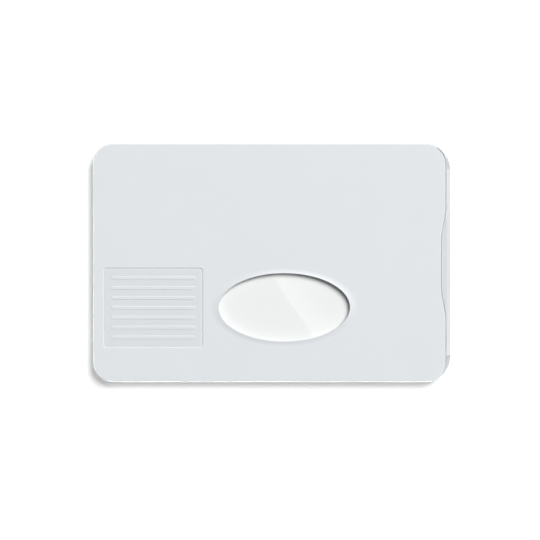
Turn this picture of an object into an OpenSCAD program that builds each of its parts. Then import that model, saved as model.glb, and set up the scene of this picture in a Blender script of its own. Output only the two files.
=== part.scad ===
// Rigid card sleeve of two panels welded to a frame, with shielding foils and the card that it holds.
// It lies on its back: +X towards the mouth, +Y across, +Z out of the front face.
// The origin is the centre of the face that it rests on.

/* [Sleeve] */
// Length of the sleeve, along the way that the card slides
sleeve_l = 90; // [89:0.5:93]
// Width of the sleeve
sleeve_w = 60; // [59:0.5:64]
// Radius of the two corners at the closed end
closed_r = 5; // [4:0.5:7]
// Radius of the back panel's two corners at the mouth
panel_mouth_r = 6.3; // [5.9:0.1:6.3]
// Radius of the front cover's two corners at the mouth
cover_mouth_r = 5; // [5:0.1:5.6]
// Thickness of the back panel
floor_t = 1; // [0.8:0.1:1.4]
// Thickness of the front cover
cover_t = 1.1; // [1:0.1:1.5]
// Height of the pocket between the back panel and the front cover
pocket_h = 1.5; // [1.4:0.1:1.8]

/* [Mouth] */
// How far the back panel reaches past the front cover
ledge_l = 1.05; // [1.05:0.05:1.8]
// Height of the rails, and of the lip that the card slides over
rail_h = 0.4; // [0.2:0.1:0.5]
// Depth of the finger notch in the cover's edge
notch_depth = 1.15; // [0.8:0.05:2]
// Width of the notch where it is deepest
notch_floor_w = 11.4; // [8:0.2:14]
// Width of the notch where it meets the edge
notch_w = 28.6; // [22:0.2:34]

/* [Thumb window] */
// Length of the oval window
window_l = 33; // [28:0.5:36]
// Width of the oval window
window_w = 17.2; // [14:0.2:20]
// Place of the window's centre along the sleeve
window_x = 3.1; // [2:0.1:6]
// Place of the window's centre across the sleeve
window_y = -11.2; // [-12:0.1:-8]
// Height of the raised rim round the window
rim_h = 0.2; // [0.1:0.05:0.4]
// Width of the rim at the window's long sides
rim_w = 0.9; // [0.6:0.1:1.4]

/* [Recessed field] */
// Length of the recessed field
field_l = 25; // [20:0.5:26]
// Width of the recessed field
field_w = 20; // [16:0.5:22]
// Depth of the field below the front face
field_depth = 0.15; // [0.15:0.05:0.3]
// Number of raised ribs in the field
rib_count = 7; // [5:1:9]

/* [Card] */
// Length of the card
card_l = 85.6; // [85.5:0.02:85.7]
// Width of the card
card_w = 53.98; // [53.9:0.02:54.04]
// Thickness of the card
card_t = 0.8; // [0.76:0.02:0.84]

/* [Hidden] */

$fn = 96;

// How far a cutting shape runs past the face that it cuts
cut = 1;

// Heights of the sleeve's faces
rail_z = floor_t + rail_h;
pocket_top = floor_t + pocket_h;
face_z = pocket_top + cover_t;

// Ends and sides of the sleeve
end_x = sleeve_l / 2;
side_y = sleeve_w / 2;
cover_end_x = end_x - ledge_l;

// Pocket inside the frame, and the channel between the rails that carry the card's three closed edges
end_wall = 2.1;
pocket_x = -end_x + end_wall;
pocket_w = card_w + 0.5;
pocket_r = 3;
rail_w = 2;
channel_x = pocket_x + rail_w;
channel_w = pocket_w - 2 * rail_w;
channel_r = 1.5;
mouth_run = 12;
rail_gap = 0.05;
rail_tip_r = 0.3;

// Lip along the straight part of the mouth, and the ramp that leads up to it
lip_t = 0.95;
lip_l = sleeve_w - 2 * panel_mouth_r;
ramp_l = 1.6;

// Card, just clear of the rails and of the pocket's end
card_r = 3.18;
card_end_x = pocket_x + 0.2;
card_x = card_end_x + card_l / 2;
card_z = rail_z + 0.02;
card_top_z = card_z + card_t;

// Sheets of the card
overlay_t = 0.1;
core_t = card_t / 2 - overlay_t;
seam_z = card_z + overlay_t + core_t;
front_overlay_z = card_top_z - overlay_t;

// Shielding foils with their liner films, sunk in the two panels
foil_t = 0.1;
liner_t = 0.1;
shield_depth = foil_t + liner_t;
shield_x0 = channel_x + 0.5;
shield_x1 = cover_end_x - notch_depth - 0.9;
shield_l = shield_x1 - shield_x0;
shield_x = (shield_x0 + shield_x1) / 2;
shield_w = channel_w - 0.5;
shield_r = 2;
shield_gap = 0.05;
window_margin = 1.4;

// Rim round the window: points up its slope, and how far it is sunk in the cover
rim_steps = 5;
rim_root = 0.4;

// Locating pegs on both faces of the frame, and their sockets in the two panels
peg_r = 0.5;
peg_l = 0.45;
socket_gap = 0.06;
side_peg_x = [-36, -12, 12, 36];
side_peg_y = (side_y + pocket_w / 2) / 2;
end_peg_x = (pocket_x - end_x) / 2;
end_peg_y = [-14, 14];

// Notch in the cover's edge, each side of which is an easy S
notch_steps = 12;
notch_ramp = (notch_w - notch_floor_w) / 2;

// Recessed field with its border groove and raised ribs
field_x = -29.9;
field_y = -11.3;
field_r = 0.7;
groove_w = 0.35;
groove_depth = 0.05;
rib_w = 0.8;
rib_l = field_l - 4;
rib_h = 0.1;
rib_pitch = (field_w - 2.6) / rib_count;

// Contact plate and chip, at the standard place on the card
contact_l = 13;
contact_w = 11.8;
contact_r = 2.5;
contact_t = overlay_t + 0.1;
contact_x = card_end_x + 15.06;
contact_y = card_w / 2 - 23.89;
contact_z = card_top_z - contact_t;
pad_gap = 0.25;
pad_gap_depth = 0.05;
pad_pitch = 2.54;
pad_field_w = 5.2;
capsule_l = 8;
capsule_t = 0.35;
chip_gap = 0.02;

// Antenna, a flat spiral on the seam between the card's two cores
turns = 5;
track_w = 0.5;
track_pitch = 1.1;
track_t = 0.05;
track_gap = 0.01;
bridge_drop = 0.1;
coil_l = card_l - 8;
coil_w = card_w - 8;
coil_x0 = card_end_x + 4;
coil_x1 = coil_x0 + coil_l;
coil_start = [coil_x0, contact_y + 1];
coil_end_x = contact_x + 2;
coil_end_y = (turns - 1) * track_pitch - coil_w / 2;

// Magnetic stripe, at the standard place on the card's back
stripe_w = 12.7;
stripe_t = 0.05;
stripe_y = card_w / 2 - 4 - stripe_w / 2;

// Colours of the pieces
shell_color = "#E2E6E9";
foil_color = "#C3C7CA";
film_color = "#DCE4E8";
card_color = "#EEF1F0";
copper_color = "#B87348";
gold_color = "#D4AF5A";
dark_color = "#2B2B2E";

// Rectangle from x0 to x1 with one corner radius at each end
module plan(x0, x1, w, r0, r1) {
    translate([x0 + r0, -w / 2]) square([x1 - x0 - r0 - r1, w]);
    translate([x0, r0 - w / 2]) square([r0, w - 2 * r0]);
    translate([x1 - r1, r1 - w / 2]) square([r1, w - 2 * r1]);
    for (s = [-1, 1]) {
        translate([x0 + r0, s * (w / 2 - r0)]) circle(r0);
        translate([x1 - r1, s * (w / 2 - r1)]) circle(r1);
    }
}

// Flat sheet with rounded corners, centred in plan, standing on z
module sheet(l, w, r, z, t) {
    translate([0, 0, z]) linear_extrude(t) plan(-l / 2, l / 2, w, r, r);
}

// Bar along X with two round ends
module round_bar(l, w, h) {
    linear_extrude(h) {
        square([l - w, w], center = true);
        for (s = [-1, 1]) translate([s * (l - w) / 2, 0]) circle(w / 2);
    }
}

// Outline of the frame and the front cover
module cover_plan() {
    plan(-end_x, cover_end_x, sleeve_w, closed_r, cover_mouth_r);
}

// Oval prism about the window's centre, grown by a margin at its long sides
module oval(margin, z, h) {
    translate([window_x, window_y, z])
        scale([window_l / window_w, 1, 1])
            cylinder(h = h, r = window_w / 2 + margin);
}

// Raised rim, whose hollow slope steepens towards the window
module window_rim() {
    r = window_w / 2;
    root = [[r - rim_root, rim_h], [r - rim_root, -rim_root], [r + rim_w, -rim_root]];
    slope = [for (i = [0:rim_steps]) let(u = i / rim_steps) [r + rim_w * (1 - u), rim_h * u * u]];
    translate([window_x, window_y, face_z])
        scale([window_l / window_w, 1, 1])
            rotate_extrude() polygon(concat(root, slope));
}

// Copies a peg or its socket to every place where the panels are located on the frame
module at_pegs() {
    for (x = side_peg_x, s = [-1, 1]) translate([x, s * side_peg_y]) children();
    for (y = end_peg_y) translate([end_peg_x, y]) children();
}

// Sockets for the frame's pegs, cut from a height up or down into a panel
module peg_sockets(z) {
    translate([0, 0, z]) at_pegs() cylinder(h = peg_l + socket_gap + cut, r = peg_r + socket_gap);
}

// Low rails just inside the frame, open towards the mouth
module rails() {
    difference() {
        plan(pocket_x + rail_gap, cover_end_x, pocket_w - 2 * rail_gap, pocket_r - rail_gap, rail_tip_r);
        plan(channel_x, end_x + mouth_run, channel_w, channel_r, 1);
    }
}

// Lip with its ramp, which guides the card's end on its way in
module mouth_lip() {
    x = end_x - lip_t;
    foot = floor_t / 2;
    side = [[x - ramp_l, foot], [x - ramp_l, floor_t], [x, rail_z], [end_x, rail_z], [end_x, foot]];
    rotate([90, 0, 0]) linear_extrude(lip_l, center = true) polygon(side);
}

// Shallow bed for a foil and its film
module shield_bed(z) {
    translate([shield_x, 0, 0])
        sheet(shield_l + 2 * shield_gap, shield_w + 2 * shield_gap, shield_r, z, shield_depth + cut);
}

module rear_panel() {
    color(shell_color) difference() {
        union() {
            linear_extrude(floor_t) plan(-end_x, end_x, sleeve_w, closed_r, panel_mouth_r);
            linear_extrude(rail_z) rails();
            mouth_lip();
        }
        shield_bed(floor_t - shield_depth);
        peg_sockets(floor_t - peg_l - socket_gap);
    }
}

module side_frame() {
    color(shell_color) union() {
        translate([0, 0, floor_t])
            linear_extrude(pocket_h)
                difference() {
                    cover_plan();
                    plan(pocket_x, end_x + mouth_run, pocket_w, pocket_r, 1);
                }
        translate([0, 0, floor_t - peg_l]) at_pegs() cylinder(h = pocket_h + 2 * peg_l, r = peg_r);
    }
}

// Height share of the notch's side at a share u of the way along it
function ease(u) = (1 - cos(180 * u)) / 2;

// Notch seen from above, which runs out past the cover's edge
module notch_plan() {
    side = [for (i = [0:notch_steps]) [
        cover_end_x - notch_depth * ease(i / notch_steps),
        notch_w / 2 - notch_ramp * i / notch_steps
    ]];
    lower = [for (i = [notch_steps:-1:0]) [side[i][0], -side[i][1]]];
    polygon(concat([[cover_end_x + cut, notch_w / 2]], side, lower, [[cover_end_x + cut, -notch_w / 2]]));
}

// Field cut into the front face, with a deeper groove along its border and ribs left standing
module field_cut() {
    z = face_z - field_depth;
    translate([field_x, field_y, 0]) {
        difference() {
            sheet(field_l, field_w, field_r, z, field_depth + cut);
            for (i = [0:rib_count - 1])
                translate([0, (i - (rib_count - 1) / 2) * rib_pitch, z - cut])
                    round_bar(rib_l, rib_w, cut + rib_h);
        }
        difference() {
            sheet(field_l, field_w, field_r, z - groove_depth, groove_depth + cut);
            sheet(field_l - 2 * groove_w, field_w - 2 * groove_w, field_r - groove_w, 0, face_z + 2 * cut);
        }
    }
}

module front_cover() {
    color(shell_color) difference() {
        union() {
            translate([0, 0, pocket_top]) linear_extrude(cover_t) cover_plan();
            window_rim();
        }
        oval(0, pocket_top - cut, cover_t + rim_h + 2 * cut);
        translate([0, 0, pocket_top - cut]) linear_extrude(cover_t + 2 * cut) notch_plan();
        field_cut();
        difference() {
            shield_bed(pocket_top - cut);
            oval(window_margin - shield_gap, pocket_top - 2 * cut, shield_depth + 3 * cut);
        }
        peg_sockets(pocket_top - cut);
    }
}

// Rectangle of foil or film in its bed
module shield_sheet(z, t) {
    translate([shield_x, 0, 0]) sheet(shield_l, shield_w, shield_r, z, t);
}

// The same with the hole that keeps it back from the window
module windowed_sheet(z, t) {
    difference() {
        shield_sheet(z, t);
        oval(window_margin, z - cut, t + 2 * cut);
    }
}

module rear_shield_foil() {
    color(foil_color) shield_sheet(floor_t - shield_depth, foil_t);
}

module rear_liner_film() {
    color(film_color) shield_sheet(floor_t - liner_t, liner_t);
}

module front_shield_foil() {
    color(foil_color) windowed_sheet(pocket_top + liner_t, foil_t);
}

module front_liner_film() {
    color(film_color) windowed_sheet(pocket_top, liner_t);
}

// One sheet of the card
module card_sheet(z, t) {
    translate([card_x, 0, 0]) sheet(card_l, card_w, card_r, z, t);
}

// Contact plate's outline as a solid, grown by a gap
module contact_block(gap, z, t) {
    translate([contact_x, contact_y, 0])
        sheet(contact_l + 2 * gap, contact_w + 2 * gap, contact_r, z, t);
}

// Square block of the chip's capsule under the plate, grown by a gap
module capsule_block(gap) {
    size = capsule_l + 2 * gap;
    translate([contact_x - size / 2, contact_y - size / 2, contact_z - capsule_t - gap])
        cube([size, size, capsule_t + gap]);
}

// Straight bar of track between two points that share an x or a y
module bar(a, b, z, t, gap) {
    w = track_w + 2 * gap;
    translate([min(a[0], b[0]) - w / 2, min(a[1], b[1]) - w / 2, z - gap])
        cube([abs(a[0] - b[0]) + w, abs(a[1] - b[1]) + w, t + gap]);
}

// Corners of the spiral: up the closed end, along, down the far end, and back one pitch further in
function turn(k) = let(d = k * track_pitch) [
    k == 0 ? coil_start : [coil_x0 + d, d - track_pitch - coil_w / 2],
    [coil_x0 + d, coil_w / 2 - d],
    [coil_x1 - d, coil_w / 2 - d],
    [coil_x1 - d, d - coil_w / 2]
];
coil_route = concat(
    [for (k = [0:turns - 1], p = turn(k)) p],
    [[coil_end_x, coil_end_y], [coil_end_x, contact_y - (capsule_l + track_w) / 2]]
);

// Whole conductor: the spiral on the seam, and the bridge that leads its outer end back under the turns
module antenna(gap) {
    track_z = seam_z - track_t;
    bridge_z = track_z - bridge_drop;
    for (i = [0:len(coil_route) - 2])
        bar(coil_route[i], coil_route[i + 1], track_z, track_t, gap);
    bridge_end = [contact_x - (capsule_l + track_w) / 2, coil_start[1]];
    bar(coil_start, bridge_end, bridge_z, track_t, gap);
    bar(coil_start, coil_start, bridge_z, bridge_drop + track_t, gap);
}

module card_front_overlay() {
    color(card_color) difference() {
        card_sheet(front_overlay_z, overlay_t);
        contact_block(chip_gap, front_overlay_z - cut, overlay_t + 2 * cut);
    }
}

module card_front_core() {
    color(card_color) difference() {
        card_sheet(seam_z, core_t);
        contact_block(chip_gap, contact_z, contact_t + cut);
        capsule_block(chip_gap);
    }
}

module card_rear_core() {
    color(card_color) difference() {
        card_sheet(card_z + overlay_t, core_t);
        capsule_block(chip_gap);
        antenna(track_gap);
    }
}

module card_rear_overlay() {
    color(card_color) difference() {
        card_sheet(card_z, overlay_t);
        translate([card_end_x - cut, stripe_y - stripe_w / 2, card_z - cut])
            cube([card_l + 2 * cut, stripe_w, stripe_t + cut]);
    }
}

module card_antenna() {
    color(copper_color) antenna(0);
}

module card_chip_capsule() {
    color(dark_color) capsule_block(0);
}

// Grooves that part the plate into its eight contacts and the field between them
module pad_grooves() {
    z = card_top_z - pad_gap_depth;
    translate([contact_x, contact_y, z]) {
        for (s = [-1, 1]) translate([s * pad_field_w / 2 - pad_gap / 2, -contact_w / 2, 0])
            cube([pad_gap, contact_w, cut]);
        for (s = [-1, 1], i = [-1:1])
            translate([s * (pad_field_w + contact_l) / 4 - contact_l / 8, i * pad_pitch - pad_gap / 2, 0])
                cube([contact_l / 4, pad_gap, cut]);
    }
}

module card_contact_plate() {
    color(gold_color) difference() {
        contact_block(0, contact_z, contact_t);
        pad_grooves();
    }
}

module card_magnetic_stripe() {
    color(dark_color)
        translate([card_end_x, stripe_y - stripe_w / 2, card_z]) cube([card_l, stripe_w, stripe_t]);
}

rear_panel();
side_frame();
front_cover();
rear_shield_foil();
front_shield_foil();
rear_liner_film();
front_liner_film();
card_front_overlay();
card_front_core();
card_rear_core();
card_rear_overlay();
card_antenna();
card_chip_capsule();
card_contact_plate();
card_magnetic_stripe();
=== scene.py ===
"""Looks of a rigid card sleeve and the card in it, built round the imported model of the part.

Pieces are modelled in millimetres, where the model has them, and brought to metres when they are finished.
+X is towards the mouth, +Y across the sleeve and +Z out of the front face.
"""

import math

import bmesh
import bpy
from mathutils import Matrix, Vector


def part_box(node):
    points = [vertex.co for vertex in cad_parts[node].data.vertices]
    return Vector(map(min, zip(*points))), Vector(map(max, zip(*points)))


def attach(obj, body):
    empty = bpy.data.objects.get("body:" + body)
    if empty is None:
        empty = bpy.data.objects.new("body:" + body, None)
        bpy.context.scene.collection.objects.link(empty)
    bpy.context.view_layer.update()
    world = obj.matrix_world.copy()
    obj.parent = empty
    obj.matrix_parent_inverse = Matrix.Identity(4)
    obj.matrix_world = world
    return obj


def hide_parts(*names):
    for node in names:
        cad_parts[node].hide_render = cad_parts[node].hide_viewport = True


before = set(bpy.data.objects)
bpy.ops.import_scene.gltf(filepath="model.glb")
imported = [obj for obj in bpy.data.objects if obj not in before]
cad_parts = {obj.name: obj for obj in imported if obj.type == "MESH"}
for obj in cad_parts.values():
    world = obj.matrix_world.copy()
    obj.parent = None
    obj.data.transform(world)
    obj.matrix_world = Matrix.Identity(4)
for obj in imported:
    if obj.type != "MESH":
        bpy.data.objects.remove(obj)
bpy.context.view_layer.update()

bl_info = {
    "name": "Rigid card sleeve",
    "version": (1, 0, 0),
    "blender": (4, 5, 0),
    "location": "3D View > Sidebar > Card sleeve",
    "description": "Moulded sleeve for one bank card, with its thumb window, its shields and the card",
    "category": "Add Mesh",
}

MM = 0.001


def box_mm(node):
    """Lowest and highest corner of a node of the model, in millimetres."""
    low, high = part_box(node)
    return low / MM, high / MM


PANEL_LOW, PANEL_HIGH = box_mm("rear_panel")
COVER_LOW, COVER_HIGH = box_mm("front_cover")
FOIL_LOW, FOIL_HIGH = box_mm("rear_shield_foil")
LINER_HIGH = box_mm("rear_liner_film")[1]
CARD_LOW, CARD_HIGH = box_mm("card_front_overlay")
BACK_LOW, BACK_HIGH = box_mm("card_rear_overlay")
PLATE_LOW, PLATE_HIGH = box_mm("card_contact_plate")
STRIPE_LOW, STRIPE_HIGH = box_mm("card_magnetic_stripe")

# Sizes that the model's boxes don't give, in millimetres
CLOSED_R = 5.0
PANEL_MOUTH_R = 6.3
COVER_MOUTH_R = 5.0
POCKET_R = 3.0
POCKET_W = 54.48
END_WALL = 2.1
CHANNEL_R = 1.5
RAIL_W = 2.0
RAIL_GAP = 0.05
RAIL_TIP_R = 0.3
LIP_T = 0.95
LIP_INSET = 0.1
RAMP_L = 1.6
BED_DEPTH = 0.2
BED_GAP = 0.05
BED_R = 2.0
PEG_R = 0.5
PEG_L = 0.45
SOCKET_GAP = 0.06
SIDE_PEG_X = (-36, -12, 12, 36)
END_PEG_Y = (-14, 14)
RIM_H = 0.2
RIM_W = 1.2
WINDOW_MARGIN = 1.4
GROOVE_W = 0.35
GROOVE_DEPTH = 0.05
FIELD_R = 0.7
FIELD_EDGE_R = 0.12
RIB_END_GAP = 2.0
RIB_SIDE_GAP = 1.3
CARD_R = 3.18
CARD_EDGE_R = 0.04
CONTACT_R = 2.5
CONTACT_EDGE_R = 0.03
CHIP_GAP = 0.02
PAD_FIELD_W = 5.2
PAD_PITCH = 2.54
PAD_GAP = 0.25
PAD_GAP_DEPTH = 0.05
PAD_GAP_R = 0.05

# The fine groove at the mouth: the bead outside it, its width and depth, the length of the outline that its
# cutter starts from, and how far back from the cover's end it runs on round the corners
BEAD_W = 0.1
LINE_W = 0.36
LINE_DEPTH = 0.5
LINE_REACH = 8.0
LINE_END = 2.6

# Heights and ends that follow from them
FLOOR_TOP = LINER_HIGH.z
RAIL_TOP = PANEL_HIGH.z
POCKET_TOP = COVER_LOW.z
FACE_Z = COVER_HIGH.z - RIM_H
SIDE_Y = COVER_HIGH.y
POCKET_X = COVER_LOW.x + END_WALL
CHANNEL_X = POCKET_X + RAIL_W
CHANNEL_W = POCKET_W - 2 * RAIL_W

# Steps round a corner, over a rounded edge, over a fine one and over that of the card or a rib, round the
# field's corners, a rib's ends, the window and a peg, the cuts that part the mouth edge, and the rings of
# the rim's slope
CORNER_STEPS = 14
EDGE_STEPS = 4
FINE_STEPS = 2
THIN_STEPS = 3
FIELD_STEPS = 5
RIB_STEPS = 6
OVAL_STEPS = 160
PEG_STEPS = 32
MOUTH_CUTS = 69
RIM_RINGS = 8

# The rounding of a rib's ends as a share of its width, just under half, that of its edges as a share of its
# height, and the corners that only a rib's face has more of before the floor is filled
RIB_END_SHARE = 0.499
RIB_EDGE_SHARE = 0.6
RIB_CORNERS = 20

# The film's own faint tint
FILM_COLOUR = "#F7F9FA"

# Levels of the plastic, as shares of the face's own: painted shade on the back panel, on the floor round the
# lip, on the ramp and on the window's wall, and a field floor drawn a shade darker
BACK_SHADE = 0.88
LEDGE_SHADE = 0.72
RAMP_SHADE = 0.82
FIELD_TONE = 0.945
WALL_SHADE = 0.62

# How near a point lies to the height or side that it is picked by, and doubled vertices to each other
NEAR = 0.004
WELD = 0.0005

# How far a cutting block passes what it cuts, which is also how far off a place is clear of another, and how
# far the channel's block runs on past the cover
CLEAR = 1.0
RUN_OUT = 10.0

# How far a pick reaches round the field or the window, round the window's wall, and past the notch's floor
AROUND = 0.2
WALL_AROUND = 0.6
NOTCH_SLACK = 0.02

# Angles in radians: what a flat fill's own edges stay under, what the lip's folds and the sharp edges lie
# over, and what shading is smooth up to
FLAT = math.radians(0.3)
FOLD = 0.1
SHARP = 1.0
SMOOTH = math.radians(35)

# Parts of a face's normal: the least upward one of a level face and of one that looks up, the most upward
# one of a wall, and the least that the ramp leans back by
LEVEL = 0.99
UP = 0.9
STEEP = 0.1
LEAN = 0.2


def linear(hex_colour):
    """Linear red, green and blue of a written sRGB colour such as #A0B1C2."""
    parts = [int(hex_colour[i:i + 2], 16) / 255 for i in (1, 3, 5)]
    return tuple(c / 12.92 if c <= 0.04045 else ((c + 0.055) / 1.055) ** 2.4 for c in parts)


def length_property(name, description, default, low, high):
    """A length in millimetres that the user can change."""
    return bpy.props.FloatProperty(name=name, description=description, default=default, min=low, max=high)


def colour_property(name, description, hex_colour):
    """A colour that the user can change."""
    return bpy.props.FloatVectorProperty(
        name=name, description=description, default=linear(hex_colour), subtype="COLOR", min=0, max=1
    )


class SleeveSizes(bpy.types.PropertyGroup):
    """Sizes of the sleeve's details, in millimetres."""

    window_x: length_property("Window place", "Window's centre along the sleeve", 3.1, 2, 6)
    window_y: length_property("Window offset", "Window's centre across the sleeve", -11.2, -12, -8)
    window_l: length_property("Window length", "Length of the oval window", 33, 28, 36)
    window_w: length_property("Window width", "Width of the oval window", 17.2, 14, 20)
    notch_depth: length_property("Notch depth", "Depth of the finger notch", 1.15, 0.8, 2)
    notch_floor: length_property("Notch floor", "Width of the notch where it is deepest", 11.4, 8, 14)
    notch_w: length_property("Notch width", "Width of the notch at the edge", 28.6, 22, 34)
    field_x: length_property("Field place", "Recessed field's centre along the sleeve", -29.9, -31, -28)
    field_y: length_property("Field offset", "Recessed field's centre across the sleeve", -11.3, -13, -9)
    field_l: length_property("Field length", "Length of the recessed field", 25, 20, 26)
    field_w: length_property("Field width", "Width of the recessed field", 20, 16, 22)
    field_depth: length_property("Field depth", "Depth of the recessed field", 0.15, 0.15, 0.3)
    rib_w: length_property("Rib width", "Width of the field's raised ribs", 0.8, 0.5, 1)
    rib_h: length_property("Rib height", "Height of the field's raised ribs", 0.1, 0.05, 0.14)
    rib_count: bpy.props.IntProperty(
        name="Ribs", description="Number of ribs in the field", default=7, min=5, max=9
    )
    edge_r: length_property("Edge rounding", "Rounding of the outer edges", 0.3, 0.1, 0.4)
    seam_r: length_property("Seam rounding", "Rounding of the edges that meet in a seam", 0.06, 0.03, 0.1)
    inner_r: length_property("Inner rounding", "Rounding of the cover's inner edges", 0.45, 0.1, 0.5)
    window_edge_r: length_property("Window rounding", "Rounding of the window's edge", 0.04, 0.02, 0.2)
    lip_r: length_property("Lip rounding", "Rounding of the lip's edges", 0.16, 0.05, 0.2)


class SleeveColours(bpy.types.PropertyGroup):
    """Colours of the sleeve and the card."""

    shell: colour_property("Sleeve", "Moulded plastic of the sleeve", "#E2E6E9")
    card: colour_property("Card", "Face of the card", "#F5F7F6")
    core: colour_property("Card core", "Inner sheets of the card", "#E9ECEB")
    stripe: colour_property("Stripe", "Magnetic stripe", "#2A2624")
    gold: colour_property("Contacts", "Gold of the contacts", "#D4AF5A")
    copper: colour_property("Antenna", "Copper of the antenna", "#B87348")
    foil: colour_property("Foil", "Aluminium of the shields", "#C9CCCE")
    epoxy: colour_property("Chip", "Epoxy of the chip's capsule", "#26262A")


class SleeveStudio(bpy.types.PropertyGroup):
    """Camera and lights."""

    lens: bpy.props.FloatProperty(name="Lens", description="Focal length", default=200, min=50, max=400)
    key: bpy.props.FloatProperty(
        name="Key", description="Power of the large light", default=1605, unit="POWER"
    )
    strip: bpy.props.FloatProperty(
        name="Strip", description="Power of the low strips that draw the edges", default=2.0, unit="POWER"
    )
    sky: bpy.props.FloatProperty(name="Sky", description="Light from all round", default=0.07, min=0, max=1)
    floor: colour_property("Floor", "Plain floor", "#F9F9F9")
    glow: bpy.props.FloatProperty(
        name="Glow", description="Light of the floor's own", default=0.28, min=0, max=1
    )


# Editing

def take_all():
    """Selects the whole mesh that is being edited."""
    bpy.ops.mesh.select_all(action="SELECT")


def start_piece(name):
    """Starts a piece as a unit square on the origin, in edit mode."""
    bpy.ops.object.select_all(action="DESELECT")
    bpy.ops.mesh.primitive_plane_add(size=1, location=(0, 0, 0))
    piece = bpy.context.object
    piece.name = piece.data.name = name
    bpy.ops.object.mode_set(mode="EDIT")
    bpy.ops.mesh.select_mode(type="VERT")
    take_all()
    return piece


def square_to(x0, x1, y0, y1, z):
    """Brings the selected unit square from the origin to these sides."""
    bpy.ops.transform.resize(value=(x1 - x0, y1 - y0, 1), center_override=(0, 0, 0))
    bpy.ops.transform.translate(value=((x0 + x1) / 2, (y0 + y1) / 2, z))


def pick(kind, test):
    """Selects the vertices, edges or faces that pass a test of their middle, and nothing else."""
    bpy.ops.mesh.select_mode(type=kind)
    bpy.ops.mesh.select_all(action="DESELECT")
    mesh = bmesh.from_edit_mesh(bpy.context.object.data)
    for part in {"VERT": mesh.verts, "EDGE": mesh.edges, "FACE": mesh.faces}[kind]:
        corners = [part] if kind == "VERT" else part.verts
        if test(sum((v.co for v in corners), Vector()) / len(corners), part):
            part.select_set(True)
    mesh.select_flush_mode()
    bmesh.update_edit_mesh(bpy.context.object.data)


def round_corners(r, test):
    """Rounds the picked corners of a flat outline."""
    pick("VERT", test)
    bpy.ops.mesh.bevel(offset=r, segments=CORNER_STEPS, affect="VERTICES", clamp_overlap=False)


def round_edges(r, test, steps=EDGE_STEPS):
    """Rounds the picked edges."""
    pick("EDGE", test)
    bpy.ops.mesh.bevel(offset=r, segments=steps, affect="EDGES", clamp_overlap=False)


def pull(dz):
    """Extrudes the selected edges up or down, and leaves the new ones selected."""
    bpy.ops.mesh.extrude_edges_move(TRANSFORM_OT_translate={"value": (0, 0, dz)})


def widen(centre, kx, ky):
    """Stretches the selection about a point."""
    bpy.ops.transform.resize(value=(kx, ky, 1), center_override=centre)


def extrude_faces(dz):
    """Extrudes the selected faces up or down as one region."""
    bpy.ops.mesh.extrude_region_move(TRANSFORM_OT_translate={"value": (0, 0, dz)})


def fill_flat():
    """Fills between the selected loops, and clears the fill's own edges away."""
    bpy.ops.mesh.fill(use_beauty=False)
    bpy.ops.mesh.dissolve_limited(angle_limit=FLAT)


def close_mesh():
    """Merges doubled vertices and turns the faces outwards, then leaves edit mode."""
    bpy.ops.mesh.select_mode(type="VERT")
    take_all()
    bpy.ops.mesh.remove_doubles(threshold=WELD)
    bpy.ops.mesh.normals_make_consistent(inside=False)
    bpy.ops.object.mode_set(mode="OBJECT")


def rounded_block(name, x0, x1, w, r0, r1, z0, z1, y=0):
    """Upright block with one corner radius at each end, as a piece of its own."""
    piece = start_piece(name)
    square_to(x0, x1, y - w / 2, y + w / 2, z0)
    round_corners(r0, lambda p, v: p.x < x0 + NEAR)
    round_corners(r1, lambda p, v: p.x > x1 - NEAR and abs(p.y - y) > w / 2 - NEAR)
    take_all()
    extrude_faces(z1 - z0)
    close_mesh()
    return piece


def oval_block(name, centre, half_l, half_w, z0, z1, steps=OVAL_STEPS):
    """Upright oval block, as a piece of its own."""
    bpy.ops.object.select_all(action="DESELECT")
    bpy.ops.mesh.primitive_circle_add(vertices=steps, radius=1, fill_type="NGON", location=(0, 0, 0))
    piece = bpy.context.object
    piece.name = piece.data.name = name
    bpy.ops.object.mode_set(mode="EDIT")
    take_all()
    bpy.ops.transform.resize(value=(half_l, half_w, 1), center_override=(0, 0, 0))
    bpy.ops.transform.translate(value=(centre[0], centre[1], z0))
    extrude_faces(z1 - z0)
    close_mesh()
    return piece


def combine(piece, tool, operation):
    """Joins a tool to a piece or cuts it away, and removes the tool."""
    bpy.ops.object.select_all(action="DESELECT")
    bpy.context.view_layer.objects.active = piece
    piece.select_set(True)
    change = piece.modifiers.new("combine", "BOOLEAN")
    change.object = tool
    change.operation = operation
    change.solver = "EXACT"
    bpy.ops.object.modifier_apply(modifier=change.name)
    bpy.data.objects.remove(tool)


def bed_block(z0, z1):
    """Block that cuts the bed of a foil and its film."""
    return rounded_block(
        "bed", FOIL_LOW.x - BED_GAP, FOIL_HIGH.x + BED_GAP, FOIL_HIGH.y * 2 + 2 * BED_GAP,
        BED_R, BED_R, z0, z1,
    )


def peg_blocks(name, r, z0, z1):
    """A round block at every place where the panels are located on the frame, joined in one piece."""
    side_y = (SIDE_Y + POCKET_W / 2) / 2
    end_x = (COVER_LOW.x + POCKET_X) / 2
    places = [(x, s * side_y) for x in SIDE_PEG_X for s in (-1, 1)] + [(end_x, y) for y in END_PEG_Y]
    pegs = [oval_block(name, place, r, r, z0, z1, steps=PEG_STEPS) for place in places]
    for peg in pegs:
        peg.select_set(True)
    bpy.context.view_layer.objects.active = pegs[0]
    bpy.ops.object.join()
    return pegs[0]


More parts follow.
